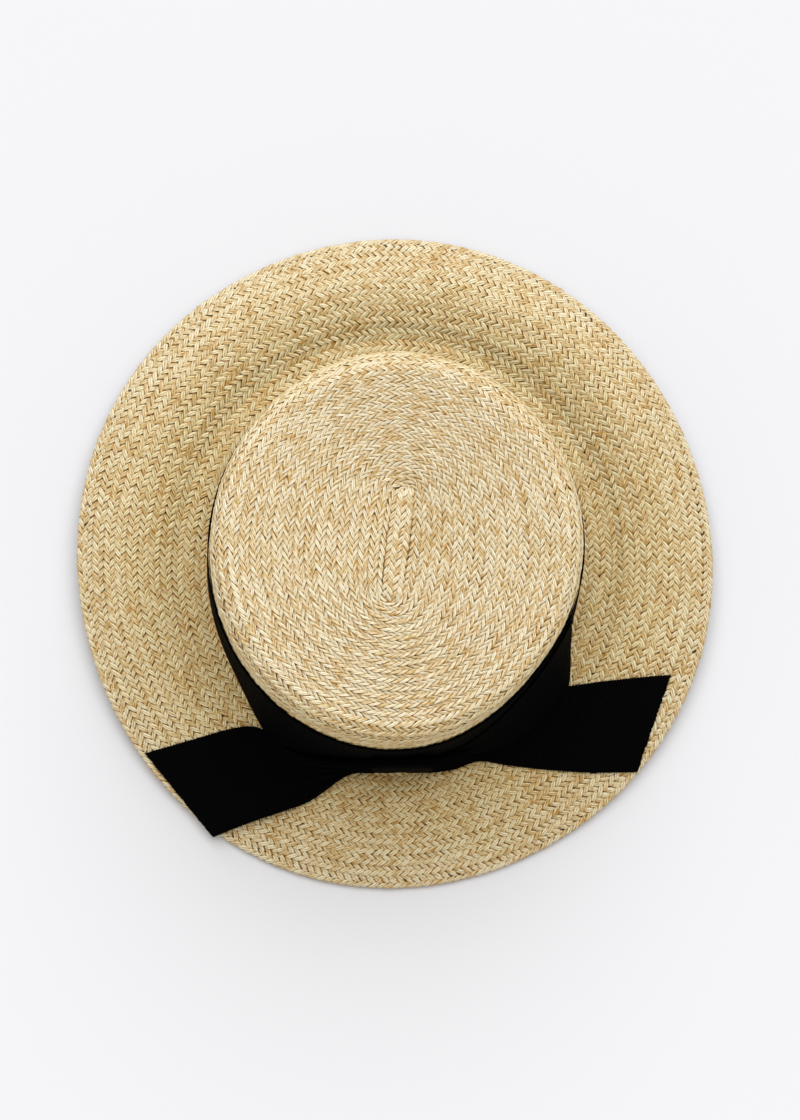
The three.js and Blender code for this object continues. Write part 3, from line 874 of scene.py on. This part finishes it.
class HAT_OT_brim(bpy.types.Operator):
    """Lays the plait of the brim, and the last row folded round its edge"""
    bl_idname = "hat.brim"
    bl_label = "Brim"

    def execute(self, context):
        none = (0.0, 0.0)
        plait = context.scene.hat_plait
        spiral_piece("brim_plait", "brim", (ROW_STOPS[4], ROWS + 1), (none, none),
                     np.concatenate([[3.95], np.linspace(4.0, EDGE_START + 0.03, 22)]), plait.slant)
        self.edge(plait)
        self.seam()
        return {"FINISHED"}

    @staticmethod
    def edge(plait):
        """Two widths of plait folded round the brim's edge, above and below, on a closed core."""
        rng = np.random.default_rng(SEED + 3)
        around = np.linspace(0, TURN, 2000)
        points = face(np.full(2000, 4.96), around)
        length = length_along(points)
        count = int(length[-1] / plait.cell)
        rim = np.linspace(0.05, 2.9, 18)[:, None]
        steps = np.arange(220)[None] / 220 * TURN
        parts = [tube_grid(place_on_edge(rim + 0 * steps, steps + 0 * rim, np.full((18, 220), -0.45)))]
        for middle, (offset, sign), shift in ((0.72, COLUMNS[0], 0), (0.72, COLUMNS[1], 0.5),
                                              (1.72, COLUMNS[0], 0), (1.72, COLUMNS[1], 0.5)):
            at = (np.arange(count) + shift) / count * length[-1] + rng.normal(0, 0.1, count)
            angle = np.interp(at, length, around)
            per_radian = millimetres_round(np.full(count, ROWS + 0.5), angle)
            parts.append(lay_floats(place_on_edge, np.full(count, middle), angle, per_radian, (offset, sign),
                                    rng, plait.slant))
        return finish_straw("brim_edge_plait", "brim_edge_row", parts)

    @staticmethod
    def seam():
        """Running stitches on the underside."""
        around = np.linspace(0, TURN, 1500)
        path = straw(np.full(1500, 4.8), around, np.full(1500, -STRAW - 0.3))
        stitches("brim_seam_stitches", "brim_seam_thread", path, (4.0, 1.6, 0.3), "straw_thread")


class HAT_OT_band(bpy.types.Operator):
    """Wraps the ribbon band round the crown, and its tacks"""
    bl_idname = "hat.band"
    bl_label = "Ribbon band"

    def execute(self, context):
        steps = 1400
        phi = (np.arange(steps) / steps * TURN)[None]
        v = np.linspace(0, 1, 17)[:, None]
        around = length_along(on_wall(20.0, BAND_OFF, np.append(phi, TURN)))
        length = around[None, :-1]
        bite = tooth(length)
        z = BAND_LOW[2] + bite + v * (BAND_HIGH[2] - BAND_LOW[2] - 2 * bite)
        points = on_wall(z, band_stand(z, phi + 0 * v), phi)
        uv = gridded(length, v * RIBBON_WIDE)
        band = cloth("hatband_ribbon", points, uv, True, "ribbon")
        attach(band, "hat")
        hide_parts("hatband")
        for node in ("band_tack_back", "band_tack_left", "band_tack_right"):
            for material_slot in frame["nodes"][node].material_slots:
                material_slot.material = MATERIALS["black_thread"]
        return {"FINISHED"}


class HAT_OT_bow(bpy.types.Operator):
    """Makes the bow: its wrapped knot, the bunch inside it and the two tails that lie on the brim"""
    bl_idname = "hat.bow"
    bl_label = "Bow"

    def execute(self, context):
        self.knot()
        self.fold()
        self.tail("left", LEFT_TAIL)
        self.tail("right", RIGHT_TAIL)
        return {"FINISHED"}

    @staticmethod
    def knot():
        """The wrap is a loop: a flat oval section that narrows downwards, with soft creases. Inside it the
        ribbon is bunched: pleats, as a sine up its height."""
        low, high = box_mm("knot_wrap")
        middle, half_high = (low + high) / 2, (high[2] - low[2]) / 2
        turn = np.linspace(0, TURN, 96, endpoint=False)[None]
        wide = np.linspace(-1, 1, 26)[:, None]
        cos, sin = np.cos(turn), np.sin(turn)
        tall = half_high * np.sign(sin) * np.abs(sin) ** 0.35 * (1 - 0.04 * (1 - wide ** 2))
        half_deep = 1.95 + 0.5 * tall / half_high
        crease = 0.18 * np.sin(wide * 7 + 1.2 * np.sin(turn * 2))
        deep = (half_deep * (1 + 0.1 * wide ** 2) + crease) * np.sign(cos) * np.abs(cos) ** 0.55
        run = length_along(np.stack([deep[0], tall[0]], -1))
        bite = tooth(run, 0.25)[None] * (np.abs(wide) > 0.99) * np.sign(wide)
        points = gridded(
            middle[0] + wide * (high[0] - low[0]) / 2 - bite,
            KNOT_Y + KNOT_LEAN * tall / half_high - deep,
            middle[2] + tall)
        uv = gridded(run[None], wide * 14)
        wrap = cloth("knot_wrap_ribbon", points, uv, True, "ribbon")
        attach(wrap, "hat")
        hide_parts("knot_wrap")
        up, along = np.linspace(-0.9, 0.9, 60)[:, None], np.linspace(-1, 1, 16)[None] * 1.12
        depth = KNOT_Y + KNOT_LEAN * up + (0.75 + 0.15 * up) * np.sin(up * 17 + 0.5 * along)
        points = gridded(middle[0] + 13 * along, depth, middle[2] + half_high * up)
        run = length_along(points[:, 8])
        uv = gridded(13 * along, run[:, None])
        core = cloth("knot_core_ribbon", points, uv, False, "ribbon", 0.4)
        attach(core, "hat")
        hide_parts("knot_core")

    @staticmethod
    def fold():
        """The band's turned end, a second layer beside the knot: it follows the crown's side, and its foot
        leans out by a power of the way down."""
        degrees, out, foot, head = smooth_path(FOLD, 200).T
        v = np.linspace(0, 1, 30)[:, None]
        phi = np.radians(degrees)[None]
        length = np.concatenate([[0], np.cumsum(np.diff(degrees) * 1.6)])[None]
        bite = tooth(length, 0.4) * ((v < 0.001) * 1.0 - (v > 0.999))
        z = foot + (head - foot) * v + bite
        crease = 0.5 * np.sin(v * 5 + phi * 9) * np.sin(v * math.pi)
        points = on_wall(z, 2.3 + (out - 2.3) * (1 - v) ** 1.4 + crease, phi + 0 * v)
        uv = gridded(length, v * RIBBON_WIDE)
        fold = cloth("hatband_fold_ribbon", points, uv, False, "ribbon")
        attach(fold, "hat")

    @staticmethod
    def tail(side, edges):
        """A ribbon from the knot to its cut end: straight lines join its lower edge to its upper edge, it is
        pleated by the knot, and it lies on the brim further out."""
        lower, upper, cut = edges
        columns, rows = 360, 46
        u = np.linspace(0, 1, columns)[None]
        v = np.linspace(0, 1, rows)[:, None]
        low, high = (smooth_path(path, columns)[None] for path in (lower, upper))
        points = low * (1 - v)[..., None] + high * v[..., None]
        across = unit(high - low)
        along = unit(np.gradient((low + high)[0] / 2, axis=0))[None]
        normal = unit(np.cross(along, across)) * (1 if side == "left" else -1)
        length = length_along((low + high)[0] / 2)[None]
        pleat = PLEAT_DEEP * np.exp(-(length / PLEAT_REACH) ** 2) * np.sin(v * TURN * PLEATS + 5.4 * u)
        wave = 0.5 * np.sin(u * 8 + v * 3) * np.clip(length / 40, 0, 1)
        points = points + normal * (pleat + wave)[..., None]
        bite = tooth(length) * ((v < 0.001) * 1.0 - (v > 0.999))
        points = points + across * bite[..., None]
        fray = np.random.default_rng(SEED + len(side)).normal(0, cut, rows)[:, None] * (u > 0.999)
        points = points + along * fray[..., None]
        floor = brim_under(points[..., 0], points[..., 1]) + TAIL_RISE
        points[..., 2] = np.maximum(points[..., 2], floor)
        uv = gridded(length, v * RIBBON_WIDE)
        tail = cloth(f"{side}_tail_ribbon", points, uv, False, "ribbon")
        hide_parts(f"{side}_gather", f"{side}_tail_root", f"{side}_tail")
        joint = next(j for j in frame["record"]["behaviour"]["joints"] if j["name"] == f"{side}_tail_lift")
        hinge, axis = np.array(joint["pos_m"]), unit(np.array(joint["axis"]))
        outward = np.mean(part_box(f"{side}_tail"), axis=0) - hinge
        outward = unit(outward - axis * (outward @ axis)) * HINGE_REACH * MM
        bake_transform(tail)


class HAT_OT_sweatband(bpy.types.Operator):
    """Lines the crown's foot with the sweatband, its stitching and the tab over its join"""
    bl_idname = "hat.sweatband"
    bl_label = "Sweatband"

    def execute(self, context):
        steps = 700
        phi = (np.arange(steps) / steps * TURN)[None]
        v = np.linspace(0, 1, 11)[:, None]
        low, high = SWEAT_LOW[2], SWEAT_HIGH[2]
        inner = -STRAW - SWEAT_OFF
        run = length_along(on_wall(30.0, inner, np.append(phi, TURN)))
        length = run[None, :-1]
        sag = 0.35 * np.sin(phi * 7) * v * (1 - v) * 4 * np.clip(v, 0, 1)
        points = on_wall(low + v * (high - low), inner - np.abs(sag), phi + 0 * v)
        uv = gridded(length, v * 32)
        band = cloth("sweatband_ribbon", points, uv, True, "sweatband")
        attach(band, "hat")
        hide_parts("sweatband")
        around = np.linspace(0, TURN, 1200)
        stitches("sweatband_stitches", "sweatband_seam_thread", on_wall(low + 2.4, inner - 0.35, around),
                 (3.2, 1.1, 0.28), "black_thread")
        self.tab(low, high, inner - 1.1)
        return {"FINISHED"}

    @staticmethod
    def tab(low, high, off):
        """A short ribbon, bowed out a little at mid-width, over the sweatband's join at the back."""
        phi = (TURN / 4 + np.radians(np.linspace(-5, 5, 24)))[None]
        v = np.linspace(0, 1, 20)[:, None]
        bow = 0.3 * np.sin(v * math.pi)
        points = on_wall(low + 4.5 + v * (high - low - 6), off - bow, phi)
        wide = length_along(points[0])[-1]
        uv = gridded(v * 26, np.linspace(0, wide, 24)[None])
        tab = cloth("sweatband_tab_ribbon", points, uv, False, "sweatband")
        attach(tab, "hat")
        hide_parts("sweatband_join_tab")


class HAT_OT_stage(bpy.types.Operator):
    """Sets the floor, the lights and the camera"""
    bl_idname = "hat.stage"
    bl_label = "Stage"

    def execute(self, context):
        scene = context.scene
        settings = scene.hat_stage
        size = 4000.0
        corner = np.array([[-1, -1, 0], [1, -1, 0], [1, 1, 0], [-1, 1, 0]]) * size / 2
        floor = link("floor", make_mesh("floor", corner, [np.array([[0, 1, 2, 3]])], smooth=False))
        material, _, shader = new_material("pale paper ground", 0.95, Specular_IOR_Level=0.1)
        shader.inputs["Base Color"].default_value = linear(settings.ground)
        floor.data.materials.append(material)
        world = bpy.data.worlds.new("soft studio")
        world.use_nodes = True
        world.node_tree.nodes["Background"].inputs["Color"].default_value = (1.0, 0.955, 0.87, 1)
        world.node_tree.nodes["Background"].inputs["Strength"].default_value = 0.57
        scene.world = world
        self.sun("key", (0.12, 0.8, 1.0), 1.3, 2.5)
        camera = bpy.data.objects.new("camera", bpy.data.cameras.new("camera"))
        scene.collection.objects.link(camera)
        target = np.array([0.0024, 0.0009, 0.0])
        rise = settings.height
        place = target + settings.distance * np.array([0, -math.cos(rise), math.sin(rise)])
        camera.location = place
        camera.rotation_euler = (math.pi / 2 - rise, 0, 0)
        camera.data.lens = settings.lens
        camera.data.sensor_width = 36
        camera.data.clip_end = 20
        scene.camera = camera
        scene.view_settings.view_transform = "Standard"
        return {"FINISHED"}

    @staticmethod
    def sun(name, towards, spread, power):
        """A far, broad light from a direction. spread is the angle that it fills, in radians."""
        data = bpy.data.lights.new(name, "SUN")
        data.angle = spread
        data.energy = power
        data.color = (0.94, 0.98, 1.06)
        lamp = bpy.data.objects.new(name, data)
        bpy.context.scene.collection.objects.link(lamp)
        lamp.location = towards
        lamp.rotation_euler = Vector(towards).to_track_quat("Z", "Y").to_euler()


class HAT_PT_panel(bpy.types.Panel):
    """Lists the hat's settings and steps"""
    bl_idname = "HAT_PT_panel"
    bl_label = "Straw hat"
    bl_space_type = "VIEW_3D"
    bl_region_type = "UI"
    bl_category = "Hat"

    def draw(self, context):
        for group in (context.scene.hat_plait, context.scene.hat_ribbon, context.scene.hat_stage):
            for key in group.__annotations__:
                self.layout.prop(group, key)
        for step in STEPS:
            self.layout.operator(step.bl_idname)


STEPS = (HAT_OT_materials, HAT_OT_crown, HAT_OT_brim, HAT_OT_sweatband, HAT_OT_band, HAT_OT_bow, HAT_OT_stage)
CLASSES = (HatPlaitSettings, HatRibbonSettings, HatStageSettings, *STEPS, HAT_PT_panel)


def register():
    for made in CLASSES:
        bpy.utils.register_class(made)
    bpy.types.Scene.hat_plait = bpy.props.PointerProperty(type=HatPlaitSettings)
    bpy.types.Scene.hat_ribbon = bpy.props.PointerProperty(type=HatRibbonSettings)
    bpy.types.Scene.hat_stage = bpy.props.PointerProperty(type=HatStageSettings)


def unregister():
    del bpy.types.Scene.hat_stage, bpy.types.Scene.hat_ribbon, bpy.types.Scene.hat_plait
    for made in reversed(CLASSES):
        bpy.utils.unregister_class(made)


def main():
    """Makes every piece in order."""
    register()
    for step in STEPS:
        group, name = step.bl_idname.split(".")
        getattr(getattr(bpy.ops, group), name)()


if __name__ == "__main__":
    main()
